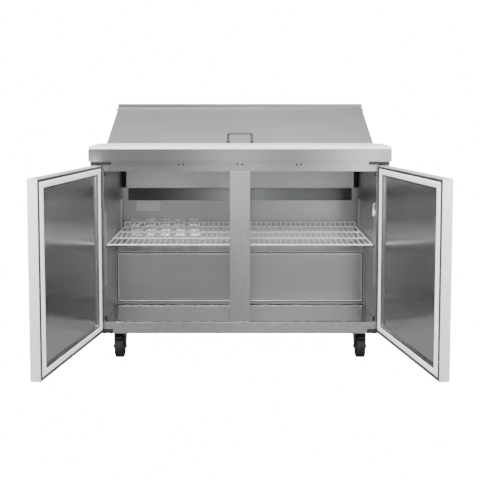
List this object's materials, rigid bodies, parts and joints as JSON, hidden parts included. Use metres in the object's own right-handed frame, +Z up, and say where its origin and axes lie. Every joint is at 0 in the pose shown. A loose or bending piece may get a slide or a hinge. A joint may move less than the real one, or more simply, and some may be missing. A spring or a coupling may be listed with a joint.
{
  "type": "sandwich prep table",
  "caption": "Refrigerated sandwich prep table with two swing doors, wire shelves, cutting board, sloped pan lid and swivel casters.",
  "frame": {"origin": "on the floor, on the centre line, midway between the ends of the open doors and the back of the worktop", "axes": "+X to the cook's right along the counter, +Y from the cook towards the wall, +Z up"},
  "size_m": [1.416, 1.3218, 1.071],
  "materials": {
    "stainless_outer": "satin",
    "stainless_frame": "satin",
    "stainless_inner": "satin",
    "door_panel_steel": "gloss",
    "door_edge_steel": "satin",
    "galvanised_steel": "matte",
    "polyethylene_white": "satin",
    "gasket_grey": "matte",
    "foam": "matte",
    "coated_wire": "satin",
    "steel_bright": "polished",
    "zinc_steel": "satin",
    "black_plastic": "satin",
    "white_plastic": "satin",
    "aluminium_fin": "satin",
    "black_enamel": "gloss",
    "black_rubber": "matte"
  },
  "bodies": {
    "cabinet": {"base_pan": "galvanised_steel", "cabinet_foam": "foam", "cabinet_screws": "steel_bright", "caster_plates": "zinc_steel", "compressor": "black_enamel", "condenser_unit": "aluminium_fin", "control_box": "black_plastic", "cord_inlet": "black_plastic", "corner_plugs": "black_plastic", "drip_pan": "stainless_inner", "evaporator_cover": "white_plastic", "evaporator_unit": "aluminium_fin", "food_pans": "stainless_inner", "hinge_brackets": "steel_bright", "liner_back": "stainless_inner", "liner_floor": "stainless_inner", "liner_left": "stainless_inner", "liner_right": "stainless_inner", "mullion": "stainless_frame", "pan_support_bars": "stainless_inner", "rear_grille": "galvanised_steel", "rear_hood": "stainless_outer", "rear_panel": "galvanised_steel", "shelf_clips": "steel_bright", "shelf_pilasters": "stainless_inner", "side_panel_left": "stainless_outer", "side_panel_right": "stainless_outer", "sill": "stainless_frame", "step_cover": "stainless_inner", "temperature_probe": "white_plastic", "top_rail": "stainless_frame", "worktop": "stainless_outer"},
    "brake_pedal_left": {"brake_pedal_left": "zinc_steel"},
    "brake_pedal_right": {"brake_pedal_right": "zinc_steel"},
    "swivel_front_left": {"caster_fork_front_left": "zinc_steel"},
    "swivel_front_right": {"caster_fork_front_right": "zinc_steel"},
    "swivel_rear_left": {"caster_fork_rear_left": "zinc_steel"},
    "swivel_rear_right": {"caster_fork_rear_right": "zinc_steel"},
    "wheel_front_left": {"caster_wheel_front_left": "black_rubber"},
    "wheel_front_right": {"caster_wheel_front_right": "black_rubber"},
    "wheel_rear_left": {"caster_wheel_rear_left": "black_rubber"},
    "wheel_rear_right": {"caster_wheel_rear_right": "black_rubber"},
    "condenser_fan": {"condenser_fan": "black_plastic"},
    "cutting_board": {"cutting_board": "polyethylene_white"},
    "door_left": {"door_core_left": "foam", "door_gasket_left": "gasket_grey", "door_liner_left": "door_panel_steel", "door_skin_left": "door_edge_steel"},
    "door_right": {"door_core_right": "foam", "door_gasket_right": "gasket_grey", "door_liner_right": "door_panel_steel", "door_skin_right": "door_edge_steel"},
    "evaporator_fan": {"evaporator_fan": "black_plastic"},
    "lid": {"lid_core": "foam", "lid_handle": "steel_bright", "lid_liner": "stainless_inner", "lid_skin": "stainless_outer"},
    "power_rocker": {"power_rocker": "black_plastic"},
    "shelf_left": {"shelf_left": "coated_wire"},
    "shelf_right": {"shelf_right": "coated_wire"}
  },
  "joints": [
    {"name": "door_left_hinge", "type": "hinge", "parent": "cabinet", "child": "door_left", "pos_m": [-0.5847, -0.08419, 0.477], "axis": [0, 0, -1], "range_deg": [-100.58, 14]},
    {"name": "door_right_hinge", "type": "hinge", "parent": "cabinet", "child": "door_right", "pos_m": [0.5847, -0.08419, 0.477], "axis": [0, 0, 1], "range_deg": [-100.58, 14]},
    {"name": "lid_hinge", "type": "hinge", "parent": "cabinet", "child": "lid", "pos_m": [0, 0.47891, 1.0373], "axis": [-1, 0, 0], "range_deg": [0, 120]},
    {"name": "cutting_board_lift", "type": "slide", "parent": "cabinet", "child": "cutting_board", "axis": [0, 0, 1], "range_m": [0, 0.06]},
    {"name": "shelf_left_lift", "type": "slide", "parent": "cabinet", "child": "shelf_left", "axis": [0, 0, 1], "range_m": [0, 0.03]},
    {"name": "shelf_right_lift", "type": "slide", "parent": "cabinet", "child": "shelf_right", "axis": [0, 0, 1], "range_m": [0, 0.03]},
    {"name": "evaporator_fan_spin", "type": "hinge", "parent": "cabinet", "child": "evaporator_fan", "pos_m": [0, 0.44891, 0.728], "axis": [0, 1, 0], "continuous": true},
    {"name": "condenser_fan_spin", "type": "hinge", "parent": "cabinet", "child": "condenser_fan", "pos_m": [-0.28, 0.50891, 0.2405], "axis": [0, 1, 0], "continuous": true},
    {"name": "power_rocker_tilt", "type": "hinge", "parent": "cabinet", "child": "power_rocker", "pos_m": [0.235, 0.64891, 0.5055], "axis": [1, 0, 0], "range_deg": [-7, 7]},
    {"name": "swivel_front_left_turn", "type": "hinge", "parent": "cabinet", "child": "swivel_front_left", "pos_m": [-0.507, 0.04891, 0.105], "axis": [0, 0, 1], "continuous": true},
    {"name": "wheel_front_left_roll", "type": "hinge", "parent": "swivel_front_left", "child": "wheel_front_left", "pos_m": [-0.507, 0.01891, 0.047], "axis": [1, 0, 0], "continuous": true},
    {"name": "brake_pedal_left_press", "type": "hinge", "parent": "swivel_front_left", "child": "brake_pedal_left", "pos_m": [-0.507, 0.00691, 0.097], "axis": [1, 0, 0], "range_deg": [0, 12]},
    {"name": "swivel_front_right_turn", "type": "hinge", "parent": "cabinet", "child": "swivel_front_right", "pos_m": [0.507, 0.04891, 0.105], "axis": [0, 0, 1], "continuous": true},
    {"name": "wheel_front_right_roll", "type": "hinge", "parent": "swivel_front_right", "child": "wheel_front_right", "pos_m": [0.507, 0.01891, 0.047], "axis": [1, 0, 0], "continuous": true},
    {"name": "brake_pedal_right_press", "type": "hinge", "parent": "swivel_front_right", "child": "brake_pedal_right", "pos_m": [0.507, 0.00691, 0.097], "axis": [1, 0, 0], "range_deg": [0, 12]},
    {"name": "swivel_rear_left_turn", "type": "hinge", "parent": "cabinet", "child": "swivel_rear_left", "pos_m": [-0.507, 0.53091, 0.105], "axis": [0, 0, 1], "continuous": true},
    {"name": "wheel_rear_left_roll", "type": "hinge", "parent": "swivel_rear_left", "child": "wheel_rear_left", "pos_m": [-0.507, 0.56091, 0.047], "axis": [1, 0, 0], "continuous": true},
    {"name": "swivel_rear_right_turn", "type": "hinge", "parent": "cabinet", "child": "swivel_rear_right", "pos_m": [0.507, 0.53091, 0.105], "axis": [0, 0, 1], "continuous": true},
    {"name": "wheel_rear_right_roll", "type": "hinge", "parent": "swivel_rear_right", "child": "wheel_rear_right", "pos_m": [0.507, 0.56091, 0.047], "axis": [1, 0, 0], "continuous": true}
  ]
}
